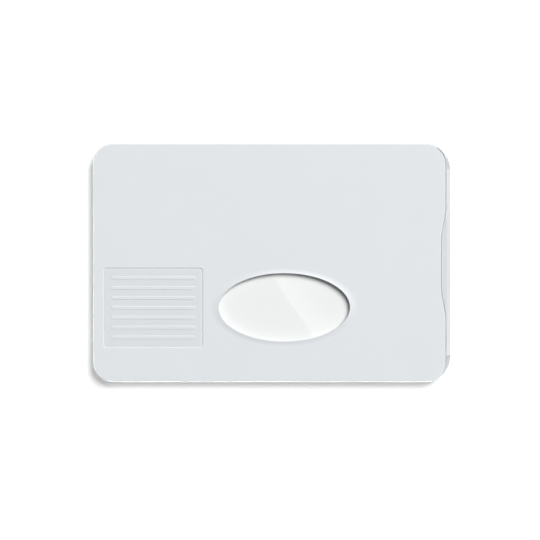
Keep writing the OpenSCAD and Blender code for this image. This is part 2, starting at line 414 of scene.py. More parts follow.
def finish_piece(piece, material, body, slot, *nodes):
    """Brings a piece to metres, shades it, hangs it on its body and hides the nodes of the model that it
    takes the place of.
    """
    bpy.ops.object.select_all(action="DESELECT")
    bpy.context.view_layer.objects.active = piece
    piece.select_set(True)
    piece.scale = (MM, MM, MM)
    bpy.ops.object.transform_apply(location=True, rotation=True, scale=True)
    bpy.ops.object.shade_smooth_by_angle(angle=SMOOTH)
    weigh = piece.modifiers.new("weigh", "WEIGHTED_NORMAL")
    weigh.keep_sharp = True
    weigh.weight = 100
    bpy.ops.object.modifier_apply(modifier=weigh.name)
    piece.data.materials.clear()
    piece.data.materials.append(material)
    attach(piece, body)
    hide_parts(*nodes)


def dress(node, material):
    """Gives a node of the model its finish, and leaves its mesh as it is."""
    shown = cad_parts[node]
    shown.data.materials.clear()
    shown.data.materials.append(material)


# Materials

def add_node(tree, kind, inputs=None, **settings):
    """Adds a node. inputs gives each socket, by name or number, its value or the output that feeds it."""
    made = tree.nodes.new(kind)
    for key, value in settings.items():
        setattr(made, key, value)
    for key, value in (inputs or {}).items():
        if isinstance(value, bpy.types.NodeSocket):
            tree.links.new(value, made.inputs[key])
        else:
            made.inputs[key].default_value = value
    return made


def start_material(name, constants):
    """Material whose shader has these constants on its own sockets, and the piece's coordinates."""
    material = bpy.data.materials.new(name)
    material.use_nodes = True
    tree = material.node_tree
    shader = tree.nodes["Principled BSDF"]
    for key, value in constants.items():
        shader.inputs[key].default_value = value
    where = add_node(tree, "ShaderNodeTexCoord").outputs["Object"]
    return material, tree, shader, where


def per_mm(size):
    """Scale of a pattern whose features are this many millimetres across."""
    return 1 / (size * MM)


def shades(colour, share):
    """A colour a share darker and the same share lighter, for the two ends of a mix."""
    return (*(Vector(colour) * (1 - share)), 1), (*(Vector(colour) * (1 + share)), 1)


def moulded_abs(name, level):
    """ABS moulded in a spark-eroded tool: an even satin skin that spreads highlights wide."""
    material, tree, shader, where = start_material(name, {"Roughness": 0.46, "IOR": 1.53})
    darker, lighter = shades(Vector(bpy.context.scene.sleeve_colours.shell) * level, 0.012)
    flow = add_node(tree, "ShaderNodeTexNoise", {"Vector": where, "Scale": per_mm(9), "Detail": 2.0})
    tone = add_node(tree, "ShaderNodeMix", {0: flow.outputs["Fac"], 6: darker, 7: lighter}, data_type="RGBA")
    tree.links.new(tone.outputs[2], shader.inputs["Base Color"])
    # The real grain is near 0.05 mm, and is drawn at 0.35 mm so that it shows as a faint mottle
    grain = add_node(tree, "ShaderNodeTexNoise", {"Vector": where, "Scale": per_mm(0.35), "Detail": 2.0})
    relief = add_node(
        tree, "ShaderNodeBump",
        {"Height": grain.outputs["Fac"], "Strength": 0.25, "Distance": 0.02 * MM},
    )
    tree.links.new(relief.outputs["Normal"], shader.inputs["Normal"])
    return material


def laminated_pvc():
    """PVC card face pressed between polished plates: white under a clear gloss with a slight orange peel."""
    material, tree, shader, where = start_material(
        "laminated_gloss_pvc",
        {"Roughness": 0.5, "IOR": 1.5, "Coat Weight": 1.0, "Coat Roughness": 0.015, "Coat IOR": 1.5},
    )
    shader.inputs["Specular IOR Level"].default_value = 0.0
    darker, lighter = shades(bpy.context.scene.sleeve_colours.card, 0.006)
    cloud = add_node(tree, "ShaderNodeTexNoise", {"Vector": where, "Scale": per_mm(14), "Detail": 1.0})
    tone = add_node(
        tree, "ShaderNodeMix", {0: cloud.outputs["Fac"], 6: darker, 7: lighter}, data_type="RGBA"
    )
    tree.links.new(tone.outputs[2], shader.inputs["Base Color"])
    peel = add_node(tree, "ShaderNodeTexNoise", {"Vector": where, "Scale": per_mm(2.5), "Detail": 0.0})
    relief = add_node(
        tree, "ShaderNodeBump",
        {"Height": peel.outputs["Fac"], "Strength": 0.1, "Distance": 0.004 * MM},
    )
    tree.links.new(relief.outputs["Normal"], shader.inputs["Coat Normal"])
    return material


def pvc_sheet():
    """White PVC sheet, punched through: a dull edge with the fine lines of the punch."""
    material, tree, shader, where = start_material("punched_white_pvc", {"Roughness": 0.55, "IOR": 1.53})
    darker, lighter = shades(bpy.context.scene.sleeve_colours.core, 0.03)
    lines = add_node(tree, "ShaderNodeMapping", {"Vector": where, "Scale": (1, 1, 0.05)})
    punch = add_node(
        tree, "ShaderNodeTexNoise",
        {"Vector": lines.outputs["Vector"], "Scale": per_mm(0.2), "Detail": 2.0},
    )
    tone = add_node(
        tree, "ShaderNodeMix", {0: punch.outputs["Fac"], 6: darker, 7: lighter}, data_type="RGBA"
    )
    tree.links.new(tone.outputs[2], shader.inputs["Base Color"])
    relief = add_node(
        tree, "ShaderNodeBump",
        {"Height": punch.outputs["Fac"], "Strength": 0.15, "Distance": 0.01 * MM},
    )
    tree.links.new(relief.outputs["Normal"], shader.inputs["Normal"])
    return material


def rolled_foil():
    """Aluminium foil as it leaves the rolls: bright, with fine lines along the way that it was rolled."""
    material, tree, shader, where = start_material("rolled_aluminium_foil", {"Metallic": 1.0})
    darker, lighter = shades(bpy.context.scene.sleeve_colours.foil, 0.06)
    along = add_node(tree, "ShaderNodeMapping", {"Vector": where, "Scale": (0.02, 1, 1)})
    lines = add_node(
        tree, "ShaderNodeTexNoise",
        {"Vector": along.outputs["Vector"], "Scale": per_mm(0.3), "Detail": 3.0},
    )
    tone = add_node(
        tree, "ShaderNodeMix", {0: lines.outputs["Fac"], 6: darker, 7: lighter}, data_type="RGBA"
    )
    tree.links.new(tone.outputs[2], shader.inputs["Base Color"])
    gloss = add_node(
        tree, "ShaderNodeMapRange",
        {"Value": lines.outputs["Fac"], "To Min": 0.24, "To Max": 0.4},
    )
    tree.links.new(gloss.outputs["Result"], shader.inputs["Roughness"])
    relief = add_node(
        tree, "ShaderNodeBump",
        {"Height": lines.outputs["Fac"], "Strength": 0.4, "Distance": 0.005 * MM},
    )
    tree.links.new(relief.outputs["Normal"], shader.inputs["Normal"])
    return material


def polyester_film():
    """Clear polyester film, drawn and wound: it lets the foil show through under a soft haze."""
    material, tree, shader, where = start_material(
        "clear_polyester_film", {"Base Color": (*linear(FILM_COLOUR), 1), "IOR": 1.6, "Alpha": 0.2}
    )
    haze = add_node(tree, "ShaderNodeTexNoise", {"Vector": where, "Scale": per_mm(6), "Detail": 2.0})
    gloss = add_node(
        tree, "ShaderNodeMapRange", {"Value": haze.outputs["Fac"], "To Min": 0.08, "To Max": 0.2}
    )
    tree.links.new(gloss.outputs["Result"], shader.inputs["Roughness"])
    return material


def etched_copper():
    """Copper etched from foil: pink and dull, with the tooth that the etch leaves and darker spots."""
    material, tree, shader, where = start_material("etched_copper", {"Metallic": 1.0})
    darker, lighter = shades(bpy.context.scene.sleeve_colours.copper, 0.12)
    tooth = add_node(tree, "ShaderNodeTexNoise", {"Vector": where, "Scale": per_mm(0.15), "Detail": 3.0})
    spots = add_node(tree, "ShaderNodeTexNoise", {"Vector": where, "Scale": per_mm(3), "Detail": 2.0})
    tone = add_node(
        tree, "ShaderNodeMix", {0: spots.outputs["Fac"], 6: darker, 7: lighter}, data_type="RGBA"
    )
    tree.links.new(tone.outputs[2], shader.inputs["Base Color"])
    gloss = add_node(
        tree, "ShaderNodeMapRange", {"Value": tooth.outputs["Fac"], "To Min": 0.3, "To Max": 0.45}
    )
    tree.links.new(gloss.outputs["Result"], shader.inputs["Roughness"])
    return material


def gold_plate():
    """Gold plated on nickel over etched contacts: a warm soft shine, scuffed as cards are pushed."""
    material, tree, shader, where = start_material("gold_plated_contacts", {"Metallic": 1.0})
    darker, lighter = shades(bpy.context.scene.sleeve_colours.gold, 0.05)
    along = add_node(tree, "ShaderNodeMapping", {"Vector": where, "Scale": (0.05, 1, 1)})
    # Real scuffs are near 0.02 mm wide, and are drawn at 0.5 mm so that they show as a soft streak
    scuff = add_node(
        tree, "ShaderNodeTexNoise",
        {"Vector": along.outputs["Vector"], "Scale": per_mm(0.5), "Detail": 2.0},
    )
    tone = add_node(
        tree, "ShaderNodeMix", {0: scuff.outputs["Fac"], 6: darker, 7: lighter}, data_type="RGBA"
    )
    tree.links.new(tone.outputs[2], shader.inputs["Base Color"])
    gloss = add_node(
        tree, "ShaderNodeMapRange", {"Value": scuff.outputs["Fac"], "To Min": 0.2, "To Max": 0.32}
    )
    tree.links.new(gloss.outputs["Result"], shader.inputs["Roughness"])
    return material


def black_epoxy():
    """Epoxy moulded over the chip: near black, dull, with specks of its glass filler."""
    material, tree, shader, where = start_material("moulded_black_epoxy", {"Roughness": 0.42, "IOR": 1.55})
    darker, lighter = shades(bpy.context.scene.sleeve_colours.epoxy, 0.3)
    filler = add_node(tree, "ShaderNodeTexNoise", {"Vector": where, "Scale": per_mm(0.08), "Detail": 1.0})
    tone = add_node(
        tree, "ShaderNodeMix", {0: filler.outputs["Fac"], 6: darker, 7: lighter}, data_type="RGBA"
    )
    tree.links.new(tone.outputs[2], shader.inputs["Base Color"])
    return material


def magnetic_tape():
    """Iron oxide coated on film and pressed in: dark brown, smooth, with faint lines along the coating."""
    material, tree, shader, where = start_material("coated_magnetic_tape", {"IOR": 1.5})
    darker, lighter = shades(bpy.context.scene.sleeve_colours.stripe, 0.15)
    along = add_node(tree, "ShaderNodeMapping", {"Vector": where, "Scale": (0.01, 1, 1)})
    lines = add_node(
        tree, "ShaderNodeTexNoise",
        {"Vector": along.outputs["Vector"], "Scale": per_mm(0.5), "Detail": 3.0},
    )
    tone = add_node(
        tree, "ShaderNodeMix", {0: lines.outputs["Fac"], 6: darker, 7: lighter}, data_type="RGBA"
    )
    tree.links.new(tone.outputs[2], shader.inputs["Base Color"])
    gloss = add_node(
        tree, "ShaderNodeMapRange", {"Value": lines.outputs["Fac"], "To Min": 0.22, "To Max": 0.32}
    )
    tree.links.new(gloss.outputs["Result"], shader.inputs["Roughness"])
    return material


def shell_finish():
    """The plastic of the frame and the cover, made once."""
    name = "moulded_satin_abs"
    return bpy.data.materials.get(name) or moulded_abs(name, 1.0)


# Pieces

class SLEEVE_OT_rear_panel(bpy.types.Operator):
    """Models the back panel, with the rails that carry the card and the lip at the mouth"""

    bl_idname = "card_sleeve.rear_panel"
    bl_label = "Rear panel"

    def execute(self, context):
        sizes = context.scene.sleeve_sizes
        end_x = PANEL_HIGH.x
        lip_x = end_x - LIP_T
        lip_y = SIDE_Y - PANEL_MOUTH_R - LIP_INSET
        panel = rounded_block(
            "rear_panel_moulding", PANEL_LOW.x, end_x, 2 * SIDE_Y, CLOSED_R, PANEL_MOUTH_R, 0, FLOOR_TOP
        )
        bpy.ops.object.mode_set(mode="EDIT")
        round_edges(sizes.edge_r, lambda p, e: p.z < NEAR)
        round_edges(sizes.seam_r, lambda p, e: p.z > FLOOR_TOP - NEAR, steps=FINE_STEPS)
        close_mesh()
        # The lip, with the ramp that leads up to it
        lip = start_piece("lip")
        square_to(lip_x - RAMP_L, end_x, -lip_y, lip_y, FLOOR_TOP / 2)
        extrude_faces(RAIL_TOP - FLOOR_TOP / 2)
        take_all()
        bpy.ops.mesh.bisect(plane_co=(lip_x, 0, 0), plane_no=(1, 0, 0))
        pick("VERT", lambda p, v: p.z > RAIL_TOP - NEAR and p.x < lip_x - NEAR)
        bpy.ops.transform.translate(value=(0, 0, FLOOR_TOP - RAIL_TOP))
        take_all()
        bpy.ops.mesh.normals_make_consistent(inside=False)
        round_edges(sizes.lip_r, lambda p, e: p.z > FLOOR_TOP + NEAR and e.calc_face_angle(0) > FOLD)
        close_mesh()
        combine(panel, lip, "UNION")
        rails = rounded_block(
            "rails", POCKET_X + RAIL_GAP, COVER_HIGH.x, POCKET_W - 2 * RAIL_GAP,
            POCKET_R - RAIL_GAP, RAIL_TIP_R, FLOOR_TOP / 2, RAIL_TOP,
        )
        channel = rounded_block(
            "channel", CHANNEL_X, COVER_HIGH.x + RUN_OUT, CHANNEL_W,
            CHANNEL_R, CHANNEL_R, 0, RAIL_TOP + CLEAR,
        )
        combine(rails, channel, "DIFFERENCE")
        combine(panel, rails, "UNION")
        combine(panel, bed_block(FLOOR_TOP - BED_DEPTH, FLOOR_TOP + CLEAR), "DIFFERENCE")
        depth = PEG_L + SOCKET_GAP
        sockets = peg_blocks("sockets", PEG_R + SOCKET_GAP, FLOOR_TOP - depth, FLOOR_TOP + CLEAR)
        combine(panel, sockets, "DIFFERENCE")
        # Painted shade: the back panel's colour is a shade darker, which darkens its lip and its ledge
        back = moulded_abs("painted_shade_abs_back", BACK_SHADE)
        finish_piece(panel, back, "sleeve", "shell", "rear_panel")
        # Painted shade: the floor round the lip and the ramp are coloured darker, so that they read as
        # shaded beside the cover's edge
        panel.data.materials.append(moulded_abs("painted_shade_abs_floor", LEDGE_SHADE))
        panel.data.materials.append(moulded_abs("painted_shade_abs_ramp", RAMP_SHADE))
        for face in panel.data.polygons:
            if face.normal.z > LEVEL and abs(face.center.z / MM - FLOOR_TOP) < NEAR:
                face.material_index = 1
            elif face.normal.z > UP and face.normal.x < -LEAN:
                face.material_index = 2
        return {"FINISHED"}


class SLEEVE_OT_side_frame(bpy.types.Operator):
    """Models the frame between the panels, open at the mouth, with its pegs"""

    bl_idname = "card_sleeve.side_frame"
    bl_label = "Side frame"

    def execute(self, context):
        sizes = context.scene.sleeve_sizes
        inner_y = POCKET_W / 2
        side_frame = start_piece("side_frame_moulding")
        square_to(COVER_LOW.x, COVER_HIGH.x, -SIDE_Y, SIDE_Y, FLOOR_TOP)
        round_corners(CLOSED_R, lambda p, v: p.x < COVER_LOW.x + NEAR)
        round_corners(COVER_MOUTH_R, lambda p, v: p.x > COVER_HIGH.x - NEAR)
        # The pocket: its place is cut out of the outline, and the rest is one face again
        sides = ((POCKET_X, 0), (1, 0, 0)), ((0, inner_y), (0, 1, 0)), ((0, -inner_y), (0, 1, 0))
        for at, across in sides:
            take_all()
            bpy.ops.mesh.bisect(plane_co=(*at, FLOOR_TOP), plane_no=across)
        pick("FACE", lambda p, f: p.x > POCKET_X and abs(p.y) < inner_y)
        bpy.ops.mesh.delete(type="FACE")
        take_all()
        bpy.ops.mesh.dissolve_faces()
        round_corners(
            POCKET_R, lambda p, v: abs(p.x - POCKET_X) < NEAR and abs(abs(p.y) - inner_y) < NEAR
        )
        take_all()
        extrude_faces(POCKET_TOP - FLOOR_TOP)
        round_edges(
            sizes.seam_r, lambda p, e: abs(e.verts[0].co.z - e.verts[1].co.z) < NEAR, steps=FINE_STEPS
        )
        close_mesh()
        pegs = peg_blocks("pegs", PEG_R, FLOOR_TOP - PEG_L, POCKET_TOP + PEG_L)
        combine(side_frame, pegs, "UNION")
        finish_piece(side_frame, shell_finish(), "sleeve", "shell", "side_frame")
        return {"FINISHED"}


class SLEEVE_OT_front_cover(bpy.types.Operator):
    """Models the front cover, with its window, finger notch and recessed field"""

    bl_idname = "card_sleeve.front_cover"
    bl_label = "Front cover"

    def add_outline(self, sizes):
        """The outline with its round corners and the notch in the mouth edge."""
        square_to(COVER_LOW.x, COVER_HIGH.x, -SIDE_Y, SIDE_Y, FACE_Z)
        round_corners(CLOSED_R, lambda p, v: p.x < COVER_LOW.x + NEAR)
        round_corners(COVER_MOUTH_R, lambda p, v: p.x > COVER_HIGH.x - NEAR)
        pick("EDGE", lambda p, e: p.x > COVER_HIGH.x - NEAR and abs(p.y) < NEAR)
        bpy.ops.mesh.subdivide(number_cuts=MOUTH_CUTS)
        self.push_notch(sizes)

    def push_notch(self, sizes):
        """Pushes the middle of the mouth edge in, with an easy S on both sides."""
        floor_y = sizes.notch_floor / 2 + NOTCH_SLACK
        pick("VERT", lambda p, v: p.x > COVER_HIGH.x - CLEAR and abs(p.y) < floor_y)
        bpy.ops.transform.translate(
            value=(-sizes.notch_depth, 0, 0), use_proportional_edit=True, proportional_edit_falloff="SMOOTH",
            proportional_size=(sizes.notch_w - sizes.notch_floor) / 2,
        )

    def edge_line(self, sizes):
        """Narrow curved block along the mouth edge and round both corners, which cuts the fine groove."""
        line = start_piece("line")
        x0, x1, y = COVER_HIGH.x - LINE_REACH, COVER_HIGH.x - BEAD_W, SIDE_Y - BEAD_W
        square_to(x0, x1, -y, y, FACE_Z - LINE_DEPTH)
        round_corners(COVER_MOUTH_R - BEAD_W, lambda p, v: p.x > x1 - NEAR)
        pick("EDGE", lambda p, e: p.x > x1 - NEAR and abs(p.y) < NEAR)
        bpy.ops.mesh.subdivide(number_cuts=MOUTH_CUTS)
        self.push_notch(sizes)
        # The outline's inner part and its straight back go, and a band of even width stays
        pick("FACE", lambda p, f: True)
        bpy.ops.mesh.inset(thickness=LINE_W, depth=0)
        bpy.ops.mesh.delete(type="FACE")
        pick("FACE", lambda p, f: p.x < COVER_HIGH.x - LINE_END)
        bpy.ops.mesh.delete(type="FACE")
        take_all()
        extrude_faces(LINE_DEPTH + CLEAR)
        close_mesh()
        return line

    def execute(self, context):
        sizes = context.scene.sleeve_sizes
        window = (sizes.window_x, sizes.window_y, FACE_Z)
        field = (sizes.field_x, sizes.field_y, FACE_Z)
        half_w = sizes.window_w / 2
        stretch = sizes.window_l / sizes.window_w
        foot = half_w + RIM_W
        inner_y = SIDE_Y - COVER_MOUTH_R

        def in_oval(p, r):
            return ((p.x - window[0]) / stretch) ** 2 + (p.y - window[1]) ** 2 < r * r

        def in_field(p, grow=0.0):
            away = abs(p.x - field[0]) - sizes.field_l / 2, abs(p.y - field[1]) - sizes.field_w / 2
            return max(away) < grow

        cover = start_piece("front_cover_moulding")
        self.add_outline(sizes)
        take_all()
        bpy.ops.mesh.delete(type="ONLY_FACE")
        bpy.ops.mesh.primitive_circle_add(
            vertices=OVAL_STEPS, radius=foot, fill_type="NOTHING", location=window
        )
        widen(window, stretch, 1)
        # The field's outline
        bpy.ops.mesh.primitive_plane_add(size=1, location=(0, 0, 0))
        half_l, half_d = sizes.field_l / 2, sizes.field_w / 2
        square_to(field[0] - half_l, field[0] + half_l, field[1] - half_d, field[1] + half_d, FACE_Z)
        bpy.ops.mesh.bevel(offset=FIELD_R, segments=FIELD_STEPS, affect="VERTICES", clamp_overlap=False)
        pick("FACE", lambda p, f: True)
        bpy.ops.mesh.delete(type="ONLY_FACE")
        take_all()
        fill_flat()
        # The outer wall, and the wall and floor of the field
        apart = lambda p: not in_oval(p, foot + AROUND) and not in_field(p, AROUND)
        pick("EDGE", lambda p, e: e.is_boundary and apart(p))
        pull(POCKET_TOP - FACE_Z)
        pick("EDGE", lambda p, e: e.is_boundary and p.z > FACE_Z - NEAR and in_field(p, AROUND))
        pull(-sizes.field_depth - GROOVE_DEPTH)
        pull(0)
        widen(field, 1 - 2 * GROOVE_W / sizes.field_l, 1 - 2 * GROOVE_W / sizes.field_w)
        pull(GROOVE_DEPTH)
        floor_z = FACE_Z - sizes.field_depth
        rib_half = sizes.field_l / 2 - RIB_END_GAP
        pitch = (sizes.field_w - 2 * RIB_SIDE_GAP) / sizes.rib_count
        first = field[1] - pitch * (sizes.rib_count - 1) / 2
        bpy.ops.mesh.primitive_plane_add(size=1, location=(0, 0, 0))
        square_to(
            field[0] - rib_half, field[0] + rib_half,
            first - sizes.rib_w / 2, first + sizes.rib_w / 2, floor_z,
        )
        bpy.ops.mesh.bevel(
            offset=sizes.rib_w * RIB_END_SHARE, segments=RIB_STEPS, affect="VERTICES", clamp_overlap=False
        )
        for _ in range(sizes.rib_count - 1):
            bpy.ops.mesh.duplicate_move(TRANSFORM_OT_translate={"value": (0, pitch, 0)})
        # The ribs' faces, which alone have many corners here, and then the floor between them
        on_floor = lambda p: abs(p.z - floor_z) < NEAR
        pick("FACE", lambda p, f: in_field(p, -CLEAR) and len(f.verts) > RIB_CORNERS and on_floor(p))
        bpy.ops.mesh.delete(type="ONLY_FACE")
        pick("EDGE", lambda p, e: in_field(p) and len(e.link_faces) < 2 and on_floor(p))
        fill_flat()
        pick("EDGE", lambda p, e: e.is_boundary and in_field(p, -CLEAR) and on_floor(p))
        pull(sizes.rib_h)
        fill_flat()
        # The rim's hollow slope up to the window's edge, and the window's wall
        pick("EDGE", lambda p, e: e.is_boundary and p.z > FACE_Z - NEAR)
        for i in range(RIM_RINGS):
            u, v = i / RIM_RINGS, (i + 1) / RIM_RINGS
            pull(RIM_H * (v * v - u * u))
            k = (foot - RIM_W * v) / (foot - RIM_W * u)
            widen((window[0], window[1], FACE_Z), k, k)
        pull(POCKET_TOP - COVER_HIGH.z)
        pick("EDGE", lambda p, e: e.is_boundary and p.z < POCKET_TOP + NEAR)
        fill_flat()
        take_all()
        bpy.ops.mesh.normals_make_consistent(inside=False)
        # Edges
        outer = lambda p: not in_oval(p, foot + CLEAR) and not in_field(p, CLEAR)
        sharp = lambda e: e.calc_face_angle(0) > SHARP
        round_edges(sizes.edge_r, lambda p, e: abs(p.z - FACE_Z) < NEAR and outer(p) and sharp(e))
        # The seam, and rounder edges where the card comes in and where it faces the window
        under = lambda p, e: abs(p.z - POCKET_TOP) < NEAR and sharp(e)
        mouth_x = COVER_HIGH.x - sizes.notch_depth - NEAR
        at_mouth = lambda p: p.x > mouth_x and abs(p.y) < inner_y
        round_edges(sizes.inner_r, lambda p, e: under(p, e) and in_oval(p, half_w + NEAR))
        round_edges(sizes.inner_r, lambda p, e: under(p, e) and at_mouth(p))
        round_edges(
            sizes.seam_r, lambda p, e: under(p, e) and outer(p) and p.x < mouth_x, steps=FINE_STEPS
        )
        round_edges(sizes.window_edge_r, lambda p, e: p.z > COVER_HIGH.z - NEAR)
        round_edges(
            FIELD_EDGE_R, lambda p, e: abs(p.z - FACE_Z) < NEAR and in_field(p, AROUND) and sharp(e),
            steps=FINE_STEPS,
        )
        round_edges(
            sizes.rib_h * RIB_EDGE_SHARE,
            lambda p, e: abs(p.z - floor_z - sizes.rib_h) < NEAR and in_field(p, -CLEAR) and sharp(e),
            steps=THIN_STEPS,
        )
        close_mesh()
        # The foil's bed under the cover, kept back from the window by a collar, and the pegs' sockets
        bed = bed_block(POCKET_TOP - CLEAR, POCKET_TOP + BED_DEPTH)
        r = half_w + WINDOW_MARGIN - BED_GAP
        collar = oval_block(
            "collar", window[:2], r * stretch, r, POCKET_TOP - 2 * CLEAR, POCKET_TOP + CLEAR
        )
        combine(bed, collar, "DIFFERENCE")
        combine(cover, bed, "DIFFERENCE")
        depth = PEG_L + SOCKET_GAP
        sockets = peg_blocks("sockets", PEG_R + SOCKET_GAP, POCKET_TOP - CLEAR, POCKET_TOP + depth)
        combine(cover, sockets, "DIFFERENCE")
        combine(cover, self.edge_line(sizes), "DIFFERENCE")
        # The groove grazes the edge's rounding, and the slivers that this leaves are merged
        bpy.ops.object.mode_set(mode="EDIT")
        close_mesh()
        finish_piece(cover, shell_finish(), "sleeve", "shell", "front_cover")
        # The field's floor is drawn a shade darker, and the window's wall gets painted shade, a darker
        # colour that holds down the light it casts back onto the card
        cover.data.materials.append(moulded_abs("moulded_darker_abs_field", FIELD_TONE))
        cover.data.materials.append(moulded_abs("painted_shade_abs_wall", WALL_SHADE))
        for face in cover.data.polygons:
            at = face.center / MM
            if at.z < floor_z + NEAR and face.normal.z > UP and in_field(at):
                face.material_index = 1
            if face.normal.z < STEEP and in_oval(at, half_w + WALL_AROUND):
                face.material_index = 2
        return {"FINISHED"}


class SLEEVE_OT_shields(bpy.types.Operator):
    """Finishes the shielding foils and the films over them"""

    bl_idname = "card_sleeve.shields"
    bl_label = "Shields"

    def execute(self, context):
        foil, film = rolled_foil(), polyester_film()
        for side in ("rear", "front"):
            dress(f"{side}_shield_foil", foil)
            dress(f"{side}_liner_film", film)
        return {"FINISHED"}


class SLEEVE_OT_card_sheets(bpy.types.Operator):
    """Models the card's glossy faces and finishes the sheets between them"""

    bl_idname = "card_sleeve.card_sheets"
    bl_label = "Card sheets"

    def execute(self, context):
        gloss = laminated_pvc()
        card_w = CARD_HIGH.y - CARD_LOW.y
        front = rounded_block(
            "card_front_face", CARD_LOW.x, CARD_HIGH.x, card_w, CARD_R, CARD_R, CARD_LOW.z, CARD_HIGH.z
        )
        bpy.ops.object.mode_set(mode="EDIT")
        round_edges(CARD_EDGE_R, lambda p, e: p.z > CARD_HIGH.z - NEAR, steps=THIN_STEPS)
        close_mesh()
        opening = rounded_block(
            "opening", PLATE_LOW.x - CHIP_GAP, PLATE_HIGH.x + CHIP_GAP,
            PLATE_HIGH.y - PLATE_LOW.y + 2 * CHIP_GAP, CONTACT_R, CONTACT_R,
            CARD_LOW.z - CLEAR, CARD_HIGH.z + CLEAR, y=(PLATE_LOW.y + PLATE_HIGH.y) / 2,
        )
        combine(front, opening, "DIFFERENCE")
        finish_piece(front, gloss, "card", "card_overlay", "card_front_overlay")
        back = rounded_block(
            "card_back_face", BACK_LOW.x, BACK_HIGH.x, card_w, CARD_R, CARD_R, BACK_LOW.z, BACK_HIGH.z
        )
        bpy.ops.object.mode_set(mode="EDIT")
        round_edges(CARD_EDGE_R, lambda p, e: p.z < BACK_LOW.z + NEAR, steps=THIN_STEPS)
        close_mesh()
        channel = start_piece("channel")
        square_to(
            STRIPE_LOW.x - CLEAR, STRIPE_HIGH.x + CLEAR, STRIPE_LOW.y, STRIPE_HIGH.y, BACK_LOW.z - CLEAR
        )
        take_all()
        extrude_faces(CLEAR + STRIPE_HIGH.z - BACK_LOW.z)
        close_mesh()
        combine(back, channel, "DIFFERENCE")
        finish_piece(back, gloss, "card", "card_overlay", "card_rear_overlay")
        sheet = pvc_sheet()
        for node in ("card_front_core", "card_rear_core"):
            dress(node, sheet)
        return {"FINISHED"}


class SLEEVE_OT_card_electronics(bpy.types.Operator):
    """Models the card's contacts and finishes its chip and antenna"""

    bl_idname = "card_sleeve.card_electronics"
    bl_label = "Card electronics"

    def execute(self, context):
        middle = (PLATE_LOW + PLATE_HIGH) / 2
        half_l, half_w = (PLATE_HIGH.x - PLATE_LOW.x) / 2, (PLATE_HIGH.y - PLATE_LOW.y) / 2
        contacts = rounded_block(
            "card_contacts", PLATE_LOW.x, PLATE_HIGH.x, 2 * half_w, CONTACT_R, CONTACT_R,
            PLATE_LOW.z, PLATE_HIGH.z, y=middle.y,
        )
        bpy.ops.object.mode_set(mode="EDIT")
        round_edges(CONTACT_EDGE_R, lambda p, e: p.z > PLATE_HIGH.z - NEAR, steps=FINE_STEPS)
        close_mesh()
        # The gaps between the pads: one down each side of the middle field, and three from it to each edge
        inner, outer = PAD_FIELD_W / 2, half_l + CLEAR
        whole_w = 2 * (half_w + CLEAR)
        gaps = [(s * inner - PAD_GAP / 2, s * inner + PAD_GAP / 2, 0, whole_w) for s in (-1, 1)]
        for s in (-1, 1):
            ends = sorted((s * inner, s * outer))
            gaps += [(*ends, i * PAD_PITCH, PAD_GAP) for i in (-1, 0, 1)]
        for x0, x1, y, w in gaps:
            gap = rounded_block(
                "gap", middle.x + x0, middle.x + x1, w, PAD_GAP_R, PAD_GAP_R,
                PLATE_HIGH.z - PAD_GAP_DEPTH, PLATE_HIGH.z + CLEAR, y=middle.y + y,
            )
            combine(contacts, gap, "DIFFERENCE")
        finish_piece(contacts, gold_plate(), "card", "contacts", "card_contact_plate")
        epoxy = black_epoxy()
        contacts.data.materials.append(epoxy)
        for face in contacts.data.polygons:
            face.material_index = int(face.normal.z > UP and face.center.z < (PLATE_HIGH.z - NEAR) * MM)
        dress("card_chip_capsule", epoxy)
        dress("card_antenna", etched_copper())
        return {"FINISHED"}


class SLEEVE_OT_card_stripe(bpy.types.Operator):
    """Finishes the magnetic stripe on the card's back"""

    bl_idname = "card_sleeve.card_stripe"
    bl_label = "Card stripe"

    def execute(self, context):
        dress("card_magnetic_stripe", magnetic_tape())
        return {"FINISHED"}


# Stage

# The camera looks straight down on the front face. The photograph is 540 pixels wide and shows 3.975 of them
# for each millimetre there, and the sleeve's centre is at this pixel. The sensor is in millimetres and the
# clipping in metres.
PHOTO_SIDE = 540
PHOTO_SCALE = 3.975
PHOTO_CENTRE = (272.0, 262.85)
SENSOR = 36.0
CLIP_START = 0.01

# Lights: direction from +X and elevation in degrees, then distance and sides in metres. The strips differ in
# their direction and in their share of the power.
KEY_LIGHT = (49, 57, 12.0, 6.6, 6.6)
STRIP_LIGHT = (0.5, 0.195, 0.25, 0.003)
STRIPS = (("left", 180, 1.0), ("front", 270, 1.6))
FLOOR_SIDE = 6

# The lit panel: its width, the corner that shows in the window and the run of its edge in millimetres, its
# length in metres, and how its light falls off across it
GLARE_W = 60
GLARE_CORNER = (13.5, -23.6, 900)
GLARE_EDGE = (19.3, 28.2)
GLARE_L = 0.2
GLARE_FADE = 22
GLARE_LEVELS = (2.6, 0.85)


def lit_from_camera(tree):
    """1 for what the camera, a mirror or glass sees of the stage, and 0 for light on the object."""
    path = add_node(tree, "ShaderNodeLightPath")
    either = add_node(
        tree, "ShaderNodeMath",
        {0: path.outputs["Is Camera Ray"], 1: path.outputs["Is Glossy Ray"]}, operation="MAXIMUM",
    )
    seen = add_node(
        tree, "ShaderNodeMath",
        {0: either.outputs[0], 1: path.outputs["Is Transmission Ray"]}, operation="MAXIMUM",
    )
    return seen.outputs[0]


